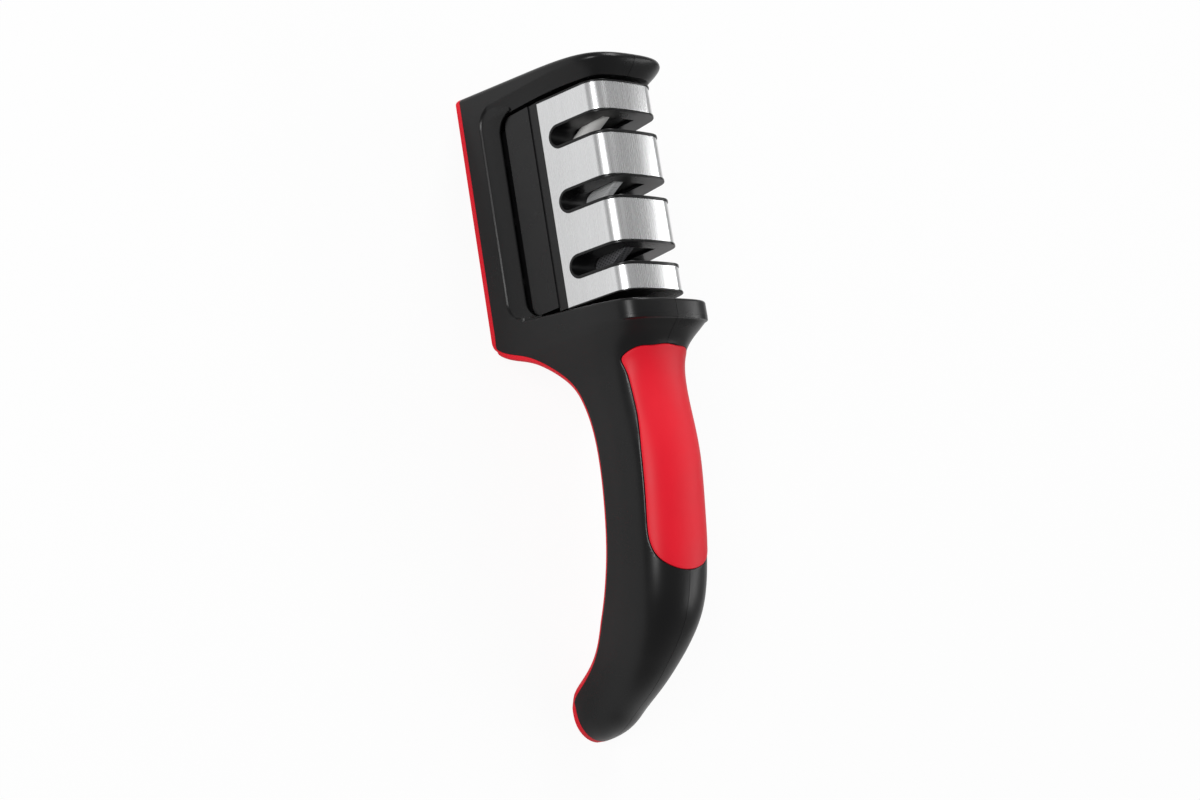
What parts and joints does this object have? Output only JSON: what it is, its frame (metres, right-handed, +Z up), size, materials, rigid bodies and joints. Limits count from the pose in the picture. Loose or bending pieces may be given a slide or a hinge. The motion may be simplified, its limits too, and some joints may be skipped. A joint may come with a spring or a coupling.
{
  "type": "pull-through knife sharpener",
  "caption": "Hand-held pull-through knife sharpener with a curved grip and a lift-out cartridge of coarse, edge-setting and fine sharpening slots under a brushed steel cover.",
  "frame": {"origin": "on the table, under the middle of the whole length and width", "axes": "+X from the head towards the handle's tail, +Y towards the far side, +Z up from the table"},
  "size_m": [0.2106, 0.0392, 0.065],
  "materials": {
    "black_housing": "satin moulded black",
    "black_cartridge": "satin moulded black",
    "black_inner": "plain moulded black",
    "red_rubber": "soft matt red",
    "brushed_cover": "fine brushed lines along the length",
    "diamond_grit": "dark grey grit in a fine cross-hatch",
    "hard_metal": "ground bright, fine streaks along each blade",
    "white_ceramic": "fine matt white",
    "screw_steel": "plain bright"
  },
  "bodies": {
    "housing": {"housing_near_half": "black_housing", "housing_far_half": "black_housing", "base_plate": "black_inner", "base_screws": "screw_steel", "sole_pad": "red_rubber", "grip_inlay": "red_rubber"},
    "cartridge": {"cartridge_base": "black_cartridge", "core_near_half": "black_inner", "core_far_half": "black_inner", "core_centre_plate": "black_inner", "cover_shell": "brushed_cover", "slot_liner_1": "black_cartridge", "slot_liner_2": "black_cartridge", "slot_liner_3": "black_cartridge", "cartridge_cap_head": "black_cartridge", "cartridge_cap_handle": "black_cartridge", "diamond_plate_near": "diamond_grit", "diamond_plate_far": "diamond_grit", "carbide_blade_near": "hard_metal", "carbide_blade_far": "hard_metal", "ceramic_rod_near": "white_ceramic", "ceramic_rod_far": "white_ceramic", "cartridge_screws": "screw_steel"}
  },
  "joints": [
    {"name": "cartridge_lift", "type": "slide", "parent": "housing", "child": "cartridge", "axis": [0, 0, 1], "range_m": [0, 0.064]}
  ]
}
